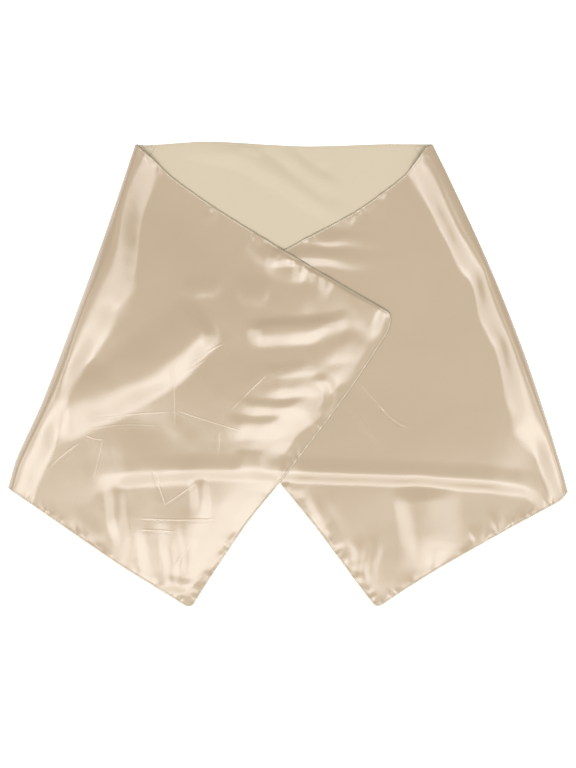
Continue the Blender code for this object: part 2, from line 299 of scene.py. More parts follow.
LEFT_DIAGONAL = (
    (-500, -72),
    (-416, -45),
    (-376, -35),
    (-330, -15),
    (-290, 7),
    (-242, 35),
    (-205, 66),
    (-172, 92),
    (-142, 110),
)
LEFT_FOLDS = (
    Fold(9.0, (64, 84), (84, 50), LEFT_DIAGONAL, (0.15, 0.12)),
    Fold(1.6, 30, 22, ((-216, 154), (-190, 168), (-160, 174), (-122, 168))),
    Fold(2.4, 40, 32, ((-112, 166), (-70, 166), (-30, 160))),
    Fold(3.0, 40, 44, ((-60, 158), (-14, 152), (34, 146), (76, 140)), (0.4, 0.4)),
    Fold(6.0, 24, 42, ((-92, 90), (-40, 94), (24, 98), (80, 104), (130, 112)), (0.2, 0.3)),
    Fold(2.4, 30, 40, ((40, 56), (84, 58), (130, 60), (160, 62)), (0.45, 0.4)),
    Fold(1.8, 22, 26, ((-70, 10), (-20, 6), (30, 8), (70, 0))),
    Fold(1.8, 20, 28, ((-60, -18), (-10, -22), (50, -20), (84, -14))),
    Fold(2.4, 16, 32, ((-110, -56), (-60, -60), (-10, -62), (50, -54))),
    Fold(2.2, 18, 36, ((-130, -92), (-90, -96), (-40, -96), (10, -92))),
    Fold(1.8, 16, 34, ((-110, -160), (-70, -164), (-30, -166))),
    Fold(2.2, 16, 16, ((50, 0), (84, -22), (86, -58), (64, -84))),
    Fold(3.6, 110, 36, ((-400, -204), (-340, -194), (-280, -190), (-220, -187), (-150, -186))),
    Fold(2.4, 26, 24, ((-352, -205), (-344, -260), (-336, -320), (-330, -390)), (0.2, 0.6)),
    Fold(2.2, 24, 22, ((-182, -200), (-176, -260), (-180, -320)), (0.2, 0.6)),
    Fold(1.3, 22, 22, ((-290, -410), (-278, -360), (-282, -310), (-266, -260)), (0.3, 0.6)),
    Fold(1.2, 18, 22, ((-206, -430), (-200, -370), (-208, -310), (-196, -260)), (0.3, 0.6)),
    Fold(1.3, 18, 18, ((-240, -430), (-234, -380), (-240, -340), (-230, -280)), (0.3, 0.6)),
    Fold(2.4, 24, 18, ((-256, -414), (-212, -426), (-174, -420))),
)

RIGHT_FOLDS = (
    Fold(3.0, 22, 20, ((-60, 284), (24, 280), (84, 274), (130, 268), (210, 262)), (0.1, 0.6)),
    Fold(3.8, 26, 24, ((-80, 238), (26, 240), (90, 234), (150, 226), (220, 222)), (0.1, 0.6)),
    Fold(3.0, 190, 24, ((-20, -191), (110, -196), (260, -200), (400, -210), (490, -226)), (0.1, 0.2)),
    Fold(1.6, 24, 26, ((110, -400), (88, -330), (60, -270), (40, -230))),
    Fold(5.2, 96, 52, ((256, -214), (260, -270), (266, -330), (258, -410)), (0.2, 0.5)),
    Fold(0.9, 16, 18, ((140, -430), (136, -390), (142, -350), (130, -320))),
    Fold(0.9, 16, 18, ((172, -430), (168, -390), (174, -350), (164, -320))),
)

LEFT_HEM_FOLDS = (
    Fold(5.4, 12, 74, ((-76, 278), (-11, 238), (74, 189), (158, 140), (203, 112)), (0.4, 0.1)),
    Fold(2.0, 22, 16, ((-58, 280), (-72, 258), (-96, 230)), (0.05, 0.7)),
    Fold(2.2, 22, 18, ((-12, 254), (-26, 232), (-46, 196)), (0.05, 0.7)),
    Fold(2.0, 22, 18, ((30, 228), (22, 206), (2, 178)), (0.05, 0.7)),
    Fold(1.8, 20, 16, ((80, 200), (74, 176), (56, 146)), (0.05, 0.7)),
    Fold(1.2, 18, 16, ((-144, 332), (-154, 318), (-172, 304)), (0.05, 0.7)),
)
RIGHT_HEM_FOLDS = (
    Fold(1.6, 16, 26, ((432, -312), (414, -292), (402, -262)), (0.05, 0.7)),
    Fold(1.4, 14, 24, ((388, -338), (374, -316), (366, -290)), (0.05, 0.7)),
    Fold(1.2, 14, 18, ((128, 324), (118, 306), (104, 290)), (0.05, 0.7)),
)


NOISE_CELLS = 64
NOISE_SHIFT = 17.3
BEND_CELL = 46.0
BEND_REACH = 3.5
FOLD_STEPS = 5


def noise(plan, cell, seed):
    """Smooth uneven value between -1 and 1 that changes over a distance of one cell."""
    rng = np.random.default_rng(seed)
    table = rng.uniform(-1.0, 1.0, (NOISE_CELLS, NOISE_CELLS))
    at = np.asarray(plan) / cell + NOISE_SHIFT
    low = np.floor(at).astype(int)
    part = at - low
    part = part * part * (3.0 - 2.0 * part)
    x0 = low[..., 0] % NOISE_CELLS
    y0 = low[..., 1] % NOISE_CELLS
    x1 = (x0 + 1) % NOISE_CELLS
    y1 = (y0 + 1) % NOISE_CELLS
    near = table[x0, y0] * (1.0 - part[..., 0]) + table[x1, y0] * part[..., 0]
    far = table[x0, y1] * (1.0 - part[..., 0]) + table[x1, y1] * part[..., 0]
    return near * (1.0 - part[..., 1]) + far * part[..., 1]


def spread(width, share):
    """Width of a fold at a share of its length: one number, or one for each end."""
    return np.interp(share, (0.0, 1.0), np.broadcast_to(width, 2))


def fold_lift(plan, folds):
    """Height that a table of folds adds at points seen from above."""
    flat = plan.reshape(-1, 2)
    bend = np.stack([noise(flat, BEND_CELL, 3), noise(flat, BEND_CELL, 4)], axis=-1)
    flat = flat + BEND_REACH * bend
    total = np.zeros(len(flat))
    for fold in folds:
        line, _ = smooth_curve(fold.path, FOLD_STEPS)
        reach = max(np.max(fold.left), np.max(fold.right))
        inside = np.all((flat > line.min(axis=0) - reach) & (flat < line.max(axis=0) + reach), axis=1)
        near = np.flatnonzero(inside)
        if len(near) == 0:
            continue
        share, side = beside(line, flat[near])
        width = np.where(side > 0.0, spread(fold.left, share), spread(fold.right, share))
        across = np.clip(1.0 - (side / width) ** 2, 0.0, 1.0) ** 2
        ends = ease(0.0, fold.fade[0], share) * (1.0 - ease(1.0 - fold.fade[1], 1.0, share))
        total[near] += fold.height * across * ends
    return total.reshape(plan.shape[:-1])


HAND_FOLDS = (BACK_FOLDS, LEFT_FOLDS, RIGHT_FOLDS, LEFT_HEM_FOLDS, RIGHT_HEM_FOLDS)
print(sum(len(folds) for folds in HAND_FOLDS), "folds by hand")

# %% [markdown]
# ## Puckers at the hem
#
# A machine hem draws the edge in a little, and the cloth beside it answers
# with pinched puckers that run in from the stitches. They come in groups with
# quiet stretches between. Their height is the sum of a fine and a broad wave
# along the hem, both dying away within a few centimetres of the edge, and a
# short table says how strong they are in each stretch.


# %% Puckers
PUCKERS = {
    "left upper": {
        "at": (20, 100, 120, 185, 196, 212, 250, 262, 275, 295, 320, 350, 500, 560, 620),
        "share": (0.8, 0.8, 0.1, 0.2, 1.0, 0.2, 0.5, 0.6, 0.2, 0.9, 0.9, 1.0, 1.0, 0.6, 0.8),
    },
    "left end": {
        "at": (0, 60, 200, 260, 420, 560, 712),
        "share": (0.5, 0.2, 0.3, 0.8, 0.4, 0.6, 0.5),
    },
    "left lower": {
        "at": (40, 80, 160, 200, 320, 435),
        "share": (0.3, 0.7, 0.8, 0.5, 0.8, 0.5),
    },
    "right upper": {
        "at": (20, 70, 110, 150, 200, 260, 330, 360, 420, 560, 655),
        "share": (0.7, 0.6, 0.2, 0.5, 0.8, 0.2, 0.9, 0.5, 0.8, 0.3, 0.3),
    },
    "right end": {
        "at": (0, 330, 420, 560, 697),
        "share": (0.2, 0.3, 0.8, 0.5, 0.7),
    },
    "right lower": {
        "at": (20, 60, 140, 200, 300, 446),
        "share": (0.6, 0.8, 0.9, 0.5, 0.6, 0.4),
    },
    "back neck": {"at": (0, 594), "share": (0.1, 0.1)},
}


Wave = namedtuple("Wave", "height bias cell stretch reach spread drift")

FINE_PUCKERS = Wave(height=2.0, bias=0.4, cell=7.5, stretch=0.25, reach=7.0, spread=3.0, drift=12.0)
BROAD_PUCKERS = Wave(height=1.4, bias=0.3, cell=15.0, stretch=0.4, reach=20.0, spread=9.0, drift=30.0)
GROUP_CELL = 26.0
GROUP_MIDDLE = 0.75
GROUP_SPREAD = 0.6
GROUP_MOST = 1.2


def pucker_wave(wave, travel, inset, seed, reach_seed):
    """Height of one wave of puckers, which dies away in from the hem."""
    steady = np.stack([travel, np.zeros_like(travel)], axis=-1)
    pinch = noise(np.stack([travel, wave.stretch * inset], axis=-1), wave.cell, seed)
    reach = wave.reach + wave.spread * noise(steady, wave.drift, reach_seed)
    beyond_hem = np.maximum(inset - HEM_WIDTH, 0.0)
    return wave.height * (pinch + wave.bias) * np.exp(-np.square(beyond_hem / reach))


def puckers(hem, travel, inset, seed):
    """Height of the puckers at a distance along a hem and a distance in from it."""
    steady = np.stack([travel, np.zeros_like(travel)], axis=-1)
    share = np.interp(travel, PUCKERS[hem]["at"], PUCKERS[hem]["share"])
    uneven = GROUP_MIDDLE + GROUP_SPREAD * noise(steady, GROUP_CELL, seed)
    groups = share * np.clip(uneven, 0.0, GROUP_MOST)
    fine = pucker_wave(FINE_PUCKERS, travel, inset, seed + 1, seed + 3)
    broad = pucker_wave(BROAD_PUCKERS, travel, inset, seed + 2, seed + 4)
    return groups * (fine + broad)


# %% [markdown]
# ## The shape of the cloth
#
# Three questions place every point of a front: how far it is from the side
# fold, how far across the width it is, and what lies beneath it. The cloth
# goes down by one layer where it passes the hidden hem of the back, and there
# the hem shows through as a soft dark and bright line. The side roll is a
# bulge: it rises steeply from the outermost line, turns over at the crest and
# falls away to the flat.

# %% The side rolls
CURL_HEIGHT = 7.0
CURL_DEPTH = 9.0
NECK_CURL_DEPTH = 40.0
TURN_LENGTH = 20.0
CREST_INSET = {
    "left": {
        "across": (0.0, 0.1, 0.18, 0.27, 0.35, 0.43, 0.52, 0.63, 0.8, 1.0),
        "inset": (12.0, 12.0, 16.0, 30.0, 22.0, 15.0, 15.0, 20.0, 16.0, 12.0),
    },
    "right": {
        "across": (0.0, 0.14, 0.23, 0.30, 0.36, 0.40, 0.50, 0.62, 0.72, 0.82, 0.91, 1.0),
        "inset": (20.0, 25.0, 26.0, 16.0, 11.0, 17.0, 17.0, 16.0, 13.0, 8.0, 9.0, 8.0),
    },
}
ROLL_REACH = {
    "left": {
        "across": (0.0, 0.1, 0.14, 0.21, 0.27, 0.33, 0.39, 0.46, 0.56, 0.64, 0.7, 0.8, 0.9, 1.0),
        "inset": (80.0, 70.0, 67.0, 74.0, 88.0, 115.0, 100.0, 96.0, 73.0, 59.0, 56.0, 66.0, 70.0, 60.0),
    },
    "right": {
        "across": (0.0, 0.04, 0.08, 0.16, 0.25, 0.31, 0.36, 0.46, 0.54, 0.64, 0.76, 0.86, 1.0),
        "inset": (88.0, 86.0, 79.0, 69.0, 69.0, 67.0, 52.0, 67.0, 58.0, 69.0, 86.0, 52.0, 50.0),
    },
}
EDGE_RADIUS = 5.0
EDGE_SHARE = 0.22
CLIMB_POWER = 2.1
ROLL_LIFT = 13.0
PUFF_LIFT = {"left": 5.0, "right": 1.0}
PUFF_LENGTH = 190.0
ROLL_SHARE = {
    "along": (0.0, 0.12, 0.4, 0.65, 0.88, 1.0),
    "left": (0.62, 0.86, 1.0, 0.95, 0.8, 0.66),
    "right": (0.72, 0.92, 0.9, 1.0, 0.86, 0.62),
}
FRONT_FOLDS = {"left": LEFT_FOLDS, "right": RIGHT_FOLDS}
HEM_FOLDS = {"left": LEFT_HEM_FOLDS, "right": RIGHT_HEM_FOLDS}
HEM_SHOWS = {
    "x": (-560.0, -420.0, -380.0, -250.0, -190.0, 0.0, 470.0, 530.0),
    "share": (0.0, 0.0, 0.3, 0.4, 0.9, 1.0, 1.0, 0.2),
    "step": (120.0, 100.0, 40.0, 30.0, 26.0, 26.0, 26.0, 50.0),
}
CRUMPLE = {
    "along": (0.0, 0.25, 0.5, 1.0),
    "left": (0.4, 0.7, 1.8, 2.4),
    "right": (0.4, 0.4, 0.5, 0.9),
}
SAG = {
    "across": (0.0, 0.08, 0.14, 0.2, 0.35, 0.5, 0.7, 1.0),
    "left": (0.0, 0.0, 3.0, 7.0, 13.0, 16.0, 13.0, 10.0),
    "right": (0.0, 0.0, 0.0, 0.0, 0.0, 2.0, 4.0, 2.0),
}
SAG_REACH = {
    "across": (0.0, 0.2, 0.35, 0.5, 0.7, 1.0),
    "left": (120.0, 100.0, 170.0, 190.0, 120.0, 90.0),
    "right": (60.0, 60.0, 60.0, 60.0, 64.0, 50.0),
}
END_STRIP = {
    "across": (0.0, 0.05, 0.1, 0.18, 0.22, 0.27, 0.31, 0.36, 0.43, 0.5, 0.54, 1.0),
    "left": (0.0, 0.0, 20.0, 16.0, 8.0, 28.0, 22.0, 14.0, 30.0, 24.0, 4.0, 0.0),
    "right": (0.0, 0.0, 0.0, 0.0, 0.0, 0.0, 0.0, 0.0, 0.0, 0.0, 0.0, 0.0),
}
SAG_POWER = 1.6
LOWER_SAG = {"left": 6.5, "right": 0.0}
LOWER_REACH = 130.0
LOWER_SAG_FROM = 200.0
LOWER_SAG_TO = 330.0
HELD_SHARE = 0.45
HELD_REACH = 34.0
STEP_FROM = 18.0
SHOWN_HEM_HEIGHT = 2.6
SHOWN_HEM_FROM = -14.0
OVER_RIGHT_FROM = 6.0
OVER_RIGHT_TO = 200.0
LANDING = 0.8
FLAT_FROM = 10.0
FLAT_TO = 60.0
NECK_SHARE = 0.14

Crumple = namedtuple("Crumple", "height cell seed")
CRUMPLES = (Crumple(0.5, 70.0, 12), Crumple(0.22, 31.0, 13))
REACH_WANDER = Crumple(0.06, 34.0, 11)
PUCKER_SEEDS = {"upper": 21, "lower": 31, "end": 41, "neck": 61}


def smooth_table(table, side, q, spread_by=0.05):
    """Value of a table at a share across, with its corners rounded off."""
    shifts = np.linspace(-spread_by, spread_by, 9)
    return sum(np.interp(q + shift, table["across"], table[side]) for shift in shifts) / len(shifts)


def roll_share(side, q):
    """How full the side roll is at a share of the way down the fold."""
    return np.interp(q, ROLL_SHARE["along"], ROLL_SHARE[side])


def crest_inset(side, q):
    """Distance from the outermost line of the roll to its crest."""
    return smooth_table(CREST_INSET[side], "inset", q, 0.02)


def front_length(side, q):
    """Length of the front along its thread, at a share of its width."""
    return (1.0 - q) * edge_length(side + " upper") + q * edge_length(side + " lower")


def front_plan(side, distance, q):
    """Point of a front from above, at a distance from the fold."""
    share = distance / front_length(side, q)
    return patch(side + " fold", side + " end", side + " upper", side + " lower", share, q)


def back_plan(side, distance, q):
    """Point of the back from above, at a distance from one side's fold."""
    span = (1.0 - q) * edge_length("back neck") + q * edge_length("back lower")
    share = distance / span
    if side == "right":
        share = 1.0 - share
    return patch("left fold", "right fold", "back neck", "back lower", share, q)


def hold_down(inset):
    """How freely the cloth stands up at a distance in from its hem."""
    return HELD_SHARE + (1.0 - HELD_SHARE) * ease(0.0, HELD_REACH, inset)


def lie(side, plan):
    """Height at which a front lies on what is beneath it."""
    beyond = past_edge("back lower", plan)
    step = np.interp(plan[..., 0], HEM_SHOWS["x"], HEM_SHOWS["step"])
    share = np.interp(plan[..., 0], HEM_SHOWS["x"], HEM_SHOWS["share"])
    over_back = 1.0 - ease(STEP_FROM, STEP_FROM + step, beyond)
    shown_hem = SHOWN_HEM_HEIGHT * share * ease(SHOWN_HEM_FROM, STEP_FROM, beyond) * over_back
    height = SOLID_WALL + LAYER * over_back + shown_hem + fold_lift(plan, BACK_FOLDS)
    if side == "left":
        past_hem = np.maximum(past_edge("right upper", plan), past_edge("right end", plan))
        over_right = 1.0 - ease(OVER_RIGHT_FROM, OVER_RIGHT_TO, past_hem)
        shown_folds = hold_down(-past_hem) * fold_lift(plan, RIGHT_FOLDS)
        height = height + (CROSSING_LAYER + shown_folds) * over_right
    return height


def pillow(side, distance, from_end, q):
    """Height by which a front stands off what is beneath it, between its hems."""
    strip = smooth_table(END_STRIP, side, q, 0.015)
    reach = smooth_table(SAG_REACH, side, q)
    in_from_end = np.clip((from_end - strip) / (reach - strip), 0.0, 1.0)
    along_end = smooth_table(SAG, side, q) * (1.0 - (1.0 - in_from_end) ** SAG_POWER)
    in_from_lower = np.clip((1.0 - q) * CLOTH_WIDTH / LOWER_REACH, 0.0, 1.0)
    away = ease(LOWER_SAG_FROM, LOWER_SAG_TO, distance)
    lost = LOWER_SAG[side] * (1.0 - in_from_lower) ** SAG_POWER * away
    return np.maximum(along_end - lost, 0.0)


def rest_on(height):
    """Keeps a height above zero with a soft landing."""
    return 0.5 * (height + np.sqrt(height * height + LANDING))


def front_height(side, plan, distance, q):
    """Height of the face of a front."""
    fullness = roll_share(side, q)
    crest = crest_inset(side, q)
    reach = smooth_table(ROLL_REACH[side], "inset", q, 0.02)
    wander = noise(plan, REACH_WANDER.cell, REACH_WANDER.seed)
    reach = reach * (1.0 + REACH_WANDER.height * wander)
    roll = ROLL_LIFT * (1.0 - ease(crest, reach, distance))
    puff = PUFF_LIFT[side] * (1.0 - ease(crest, crest + PUFF_LENGTH, distance))
    past_crest = ease(FLAT_FROM, FLAT_TO, distance)
    soft = sum(part.height * noise(plan, part.cell, part.seed) for part in CRUMPLES)
    soft = soft * np.interp(distance / front_length(side, q), CRUMPLE["along"], CRUMPLE[side])
    from_end = front_length(side, q) - distance
    from_upper = q * CLOTH_WIDTH
    from_lower = CLOTH_WIDTH - from_upper
    held = hold_down(np.minimum(np.minimum(from_end, from_upper), from_lower))
    folds = past_crest * held * fold_lift(plan, FRONT_FOLDS[side])
    folds = folds + past_crest * fold_lift(plan, HEM_FOLDS[side])
    upper = puckers(side + " upper", distance, from_upper, PUCKER_SEEDS["upper"])
    lower = puckers(side + " lower", distance, from_lower, PUCKER_SEEDS["lower"])
    end = puckers(side + " end", from_upper, from_end, PUCKER_SEEDS["end"])
    small = soft * past_crest * held + upper + lower + end
    lifted = fullness * (roll + puff) + pillow(side, distance, from_end, q) + folds + small
    return lie(side, plan) + rest_on(lifted)


def curl_depth(q):
    """Distance from the outermost line at which the back begins to curl up into the roll."""
    return CURL_DEPTH + (NECK_CURL_DEPTH - CURL_DEPTH) * (1.0 - ease(0.0, NECK_SHARE, q))


def cloth_face(side, turn, q):
    """Face of the cloth round a side fold and on its front.

    Turn is below -1 on the under leg, -1 to 0 round the lower curl, 0 at the
    outermost line, 0 to 1 up to the crest and above 1 beyond it, where it
    grows by 1 for each TURN_LENGTH of distance.
    """
    turn, q = np.broadcast_arrays(np.asarray(turn, dtype=float), np.asarray(q, dtype=float))
    lower = np.clip(turn + 1.0, 0.0, 1.0) * math.pi / 2.0
    upper = np.clip(turn, 0.0, 1.0) * math.pi / 2.0
    under_leg = np.clip(-1.0 - turn, 0.0, None) * TURN_LENGTH
    upper_leg = np.clip(turn - 1.0, 0.0, None) * TURN_LENGTH
    crest = crest_inset(side, q)
    curl = CURL_HEIGHT * roll_share(side, q)
    depth = curl_depth(q)

    below = under_leg + depth * (1.0 - np.sin(lower))
    above = upper_leg + crest * (1.0 - np.cos(upper))
    is_upper = turn > 0.0
    plan_above = front_plan(side, above, q)
    plan = np.where(is_upper[..., None], plan_above, back_plan(side, below, q))
    top = front_height(side, plan_above, above, q)
    near_edge = np.clip(above / EDGE_RADIUS, 0.0, 1.0)
    climb = EDGE_SHARE * np.sqrt(1.0 - np.square(1.0 - near_edge))
    climb = climb + (1.0 - EDGE_SHARE) * (1.0 - np.cos(upper) ** CLIMB_POWER)
    height_above = curl + (top - curl) * climb
    height_below = curl * (1.0 - np.cos(lower))
    height = np.where(is_upper, height_above, height_below)
    return np.concatenate([plan, height[..., None]], axis=-1)


def turn_at(side, distance, q):
    """Turn that stands for a distance beyond the crest."""
    return 1.0 + (distance - crest_inset(side, q)) / TURN_LENGTH


def round_corner(u, v, radius):
    """Moves points of a square corner, u and v from its two edges, into a rounded one."""
    a = np.clip(1.0 - u / radius, 0.0, 1.0)
    b = np.clip(1.0 - v / radius, 0.0, 1.0)
    new_a = a * np.sqrt(1.0 - 0.5 * b * b)
    new_b = b * np.sqrt(1.0 - 0.5 * a * a)
    inside = (a > 0.0) & (b > 0.0)
    return np.where(inside, radius * (1.0 - new_a), u), np.where(inside, radius * (1.0 - new_b), v)


print("roll is", CURL_HEIGHT + ROLL_LIFT, "mm high at its fullest")

# %% [markdown]
# ## Finishes
#
# Satin floats its threads on the face, so the face throws back a soft, broad
# highlight while the reverse stays matt. Each is one Principled shader. The
# threads are drawn in the cloth's own UV map, whose unit is a metre along and
# across the cut, so that the weave follows the folds. The finest creases are
# lines pressed into the cloth, far narrower than a fold, and are bump.

# %% Finishes
FACE_COLOUR = (0.505, 0.388, 0.262)
# The hem colour is the face colour painted a little lighter and paler, a painted highlight along the
# narrow rolled hem.
HEM_COLOUR_LIGHTENED_AS_PAINTED_HIGHLIGHT = (0.50, 0.41, 0.28)
REVERSE_COLOUR = (0.63, 0.54, 0.395)
THREAD_COLOUR = (0.60, 0.50, 0.36)
TABLE_COLOUR = (0.93, 0.93, 0.93)
SATIN_ROUGHNESS = 0.22
SATIN_SPECULAR = 1.0
SATIN_IOR = 1.55
REVERSE_ROUGHNESS = 0.62
REVERSE_SPECULAR = 0.3
FLOATS_PER_METRE = {"across": 900.0, "along": 40.0}
REVERSE_GRAIN_PER_METRE = 1500.0
THREAD_BUMP = 0.0001


def new_finish(name, colour, roughness, specular):
    """An empty finish with its shader, and its tree's links."""
    material = bpy.data.materials.new(name)
    material.use_nodes = True
    shader = material.node_tree.nodes["Principled BSDF"]
    shader.inputs["Base Color"].default_value = (*colour, 1.0)
    shader.inputs["Roughness"].default_value = roughness
    shader.inputs["Specular IOR Level"].default_value = specular
    material.diffuse_color = (*colour, 1.0)
    return material, material.node_tree, shader


def add_node(tree, kind, inputs=None, **settings):
    """A node with its settings and the values of its inputs."""
    node = tree.nodes.new(kind)
    for name, value in settings.items():
        setattr(node, name, value)
    for name, value in (inputs or {}).items():
        node.inputs[name].default_value = value
    return node


def vary_colour(tree, shader, colour, amount):
    """Lets the colour drift a little over the cloth."""
    place = add_node(tree, "ShaderNodeTexCoord")
    drift = add_node(tree, "ShaderNodeTexNoise", {"Scale": 9.0, "Detail": 3.0})
    tree.links.new(place.outputs["Object"], drift.inputs["Vector"])
    mix = add_node(tree, "ShaderNodeMix", data_type="RGBA")
    mix.inputs["A"].default_value = (*[value * (1.0 - amount) for value in colour], 1.0)
    mix.inputs["B"].default_value = (*[value * (1.0 + amount) for value in colour], 1.0)
    tree.links.new(drift.outputs["Fac"], mix.inputs["Factor"])
    tree.links.new(mix.outputs["Result"], shader.inputs["Base Color"])


def thread_height(tree, across_scale, along_scale):
    """Height of the floats: fine streaks along the warp, in the cloth's UV map."""
    place = add_node(tree, "ShaderNodeUVMap", uv_map="threads")
    stretch = add_node(tree, "ShaderNodeVectorMath", operation="MULTIPLY")
    stretch.inputs[1].default_value = (along_scale, across_scale, 1.0)
    tree.links.new(place.outputs["UV"], stretch.inputs[0])
    streaks = add_node(tree, "ShaderNodeTexNoise", {"Scale": 1.0, "Detail": 2.0})
    tree.links.new(stretch.outputs["Vector"], streaks.inputs["Vector"])
    return streaks.outputs["Fac"]


# %% [markdown]
# A pressed crease is far narrower than the spacing of the mesh. Each vertex
# therefore stores how far it lies to the side of the nearest crease, counted in
# widths of that crease. That distance changes evenly over a face, so the
# shader can still draw a sharp line between two vertices. Three sets are kept,
# so that creases which meet don't disturb each other.

# %% Pressed creases
Crease = namedtuple("Crease", "depth width path")

LEFT_CREASES = (
    Crease(0.5, 2.6, ((-228, 30), (-226, -14), (-224, -110))),
    Crease(0.45, 2.4, ((-396, -84), (-300, -76), (-222, -72))),
    Crease(0.45, 2.4, ((-232, -66), (-160, -90), (-80, -114))),
    Crease(0.35, 2.2, ((-404, -108), (-330, -98), (-250, -100))),
    Crease(0.55, 2.8, ((-120, -74), (-76, -30), (-30, 14))),
    Crease(0.35, 2.4, ((-36, 8), (-10, 16), (14, 20))),
    Crease(0.6, 3.0, ((-137, -104), (-138, -132), (-141, -166))),
    Crease(0.5, 2.4, ((-406, -118), (-386, -126), (-364, -128))),
    Crease(0.6, 2.4, ((-368, -122), (-376, -164), (-388, -210))),
    Crease(0.9, 2.8, ((-268, -184), (-256, -222), (-243, -260))),
    Crease(0.8, 2.8, ((-250, -260), (-214, -236), (-180, -212))),
    Crease(0.8, 2.6, ((-306, -285), (-220, -288), (-134, -286))),
    Crease(0.7, 2.6, ((-300, -308), (-260, -309), (-220, -312))),
    Crease(0.6, 2.6, ((-228, -384), (-214, -360), (-194, -334))),
    Crease(0.8, 3.0, ((-478, -186), (-452, -160), (-412, -130))),
    Crease(0.7, 3.0, ((-204, 14), (-166, 44), (-122, 68))),
    Crease(0.4, 2.2, ((-210, 4), (-180, 22), (-160, 34))),
)
RIGHT_CREASES = (
    Crease(0.6, 3.0, ((138, -8), (168, -42), (200, -78))),
    Crease(0.9, 4.6, ((182, -56), (210, -86), (244, -106))),
    Crease(0.25, 2.4, ((114, -50), (154, -100), (196, -152))),
)
FRONT_CREASES = {"left": LEFT_CREASES, "right": RIGHT_CREASES}
CREASE_SETS = 3
CREASE_REACH = 8.0
CREASE_STRENGTH = 0.3
CREASE_FADE = 0.2
FAR_AWAY = 9.0


def crease_fields(plan, creases):
    """Distance to the nearest crease in widths, and its depth in metres, in three sets."""
    flat = plan.reshape(-1, 2)
    side = np.full((len(flat), CREASE_SETS), FAR_AWAY)
    depth = np.zeros((len(flat), CREASE_SETS))
    for index, crease in enumerate(creases):
        line, _ = smooth_curve(crease.path, FOLD_STEPS)
        chosen = index % CREASE_SETS
        share, gap = beside(line, flat)
        nearer = np.abs(gap) / crease.width < np.abs(side[:, chosen])
        taken = (np.abs(gap) < CREASE_REACH) & nearer
        ends = ease(0.0, CREASE_FADE, share) * (1.0 - ease(1.0 - CREASE_FADE, 1.0, share))
        side[taken, chosen] = gap[taken] / crease.width
        depth[taken, chosen] = (CREASE_STRENGTH * crease.depth * MM * ends)[taken]
    return side, depth


def add_field(thing, name, values):
    """Stores a vector on each vertex of a piece."""
    field = thing.data.attributes.new(name, "FLOAT_VECTOR", "POINT")
    field.data.foreach_set("vector", values.reshape(-1))


def crease_height(tree):
    """Height of the pressed creases, from the fields that the cloth carries."""
    sides = add_node(tree, "ShaderNodeAttribute", attribute_name="crease side")
    depths = add_node(tree, "ShaderNodeAttribute", attribute_name="crease depth")
    absolute = add_node(tree, "ShaderNodeVectorMath", operation="ABSOLUTE")
    fall = add_node(tree, "ShaderNodeMapRange", data_type="FLOAT_VECTOR", interpolation_type="SMOOTHSTEP")
    fall.inputs[9].default_value = (1.0, 1.0, 1.0)
    fall.inputs[10].default_value = (0.0, 0.0, 0.0)
    product = add_node(tree, "ShaderNodeVectorMath", operation="DOT_PRODUCT")
    tree.links.new(sides.outputs["Vector"], absolute.inputs[0])
    tree.links.new(absolute.outputs["Vector"], fall.inputs[6])
    tree.links.new(fall.outputs["Vector"], product.inputs[0])
    tree.links.new(depths.outputs["Vector"], product.inputs[1])
    return product.outputs["Value"]


def bump(tree, shader, height, distance, strength, before=None):
    """Adds a bump under the shader, on top of an earlier one."""
    node = add_node(tree, "ShaderNodeBump", {"Distance": distance, "Strength": strength})
    tree.links.new(height, node.inputs["Height"])
    if before is not None:
        tree.links.new(before, node.inputs["Normal"])
    tree.links.new(node.outputs["Normal"], shader.inputs["Normal"])
    return node.outputs["Normal"]


def make_satin(name, colour, creases):
    """The glossy face of the satin."""
    material, tree, shader = new_finish(name, colour, SATIN_ROUGHNESS, SATIN_SPECULAR)
    shader.inputs["IOR"].default_value = SATIN_IOR
    vary_colour(tree, shader, colour, 0.03)
    floats = thread_height(tree, FLOATS_PER_METRE["across"], FLOATS_PER_METRE["along"])
    normal = bump(tree, shader, floats, THREAD_BUMP, 0.35)
    if creases:
        bump(tree, shader, crease_height(tree), 1.0, 1.0, normal)
    return material


def make_reverse(name, colour):
    """The matt reverse of the satin."""
    material, tree, shader = new_finish(name, colour, REVERSE_ROUGHNESS, REVERSE_SPECULAR)
    shader.inputs["Sheen Weight"].default_value = 0.15
    shader.inputs["Sheen Roughness"].default_value = 0.5
    vary_colour(tree, shader, colour, 0.02)
    grain = thread_height(tree, REVERSE_GRAIN_PER_METRE, REVERSE_GRAIN_PER_METRE)
    bump(tree, shader, grain, THREAD_BUMP, 0.4)
    return material


SATIN = make_satin("satin face", FACE_COLOUR, True)
SATIN_PLAIN = make_satin("satin face of the back", FACE_COLOUR, False)
# The front hems get this lighter copy of the satin, whose colour carries a painted highlight.
HEM_SATIN_WITH_PAINTED_HIGHLIGHT = make_satin("satin hem", HEM_COLOUR_LIGHTENED_AS_PAINTED_HIGHLIGHT, False)
REVERSE = make_reverse("satin reverse", REVERSE_COLOUR)
THREAD = make_reverse("sewing thread", THREAD_COLOUR)

# %% [markdown]
# ## Sheets of cloth
#
# A sheet is a grid of points. It is made as one open surface with its face
# outwards, and Solidify gives it the thickness of the cloth towards the
# reverse, with the reverse finish on that side. The grid is finest beside the
# hems, where the puckers are, and coarser in the quiet middle.


# %% A sheet from a grid of points
CROWD_REACH = 28.0
CROWD_SAMPLES = 2001


def crowded(count, fine, step, length):
    """Stations over a length that lie close together near both ends."""
    place = np.linspace(0.0, 1.0, CROWD_SAMPLES)
    from_edge = np.minimum(place, 1.0 - place) * length
    weight = 1.0 + (step / fine - 1.0) * np.exp(-np.square(from_edge / CROWD_REACH))
    total = np.concatenate([[0.0], np.cumsum(0.5 * (weight[1:] + weight[:-1]))])
    return np.interp(np.linspace(0.0, 1.0, count), total / total[-1], place)


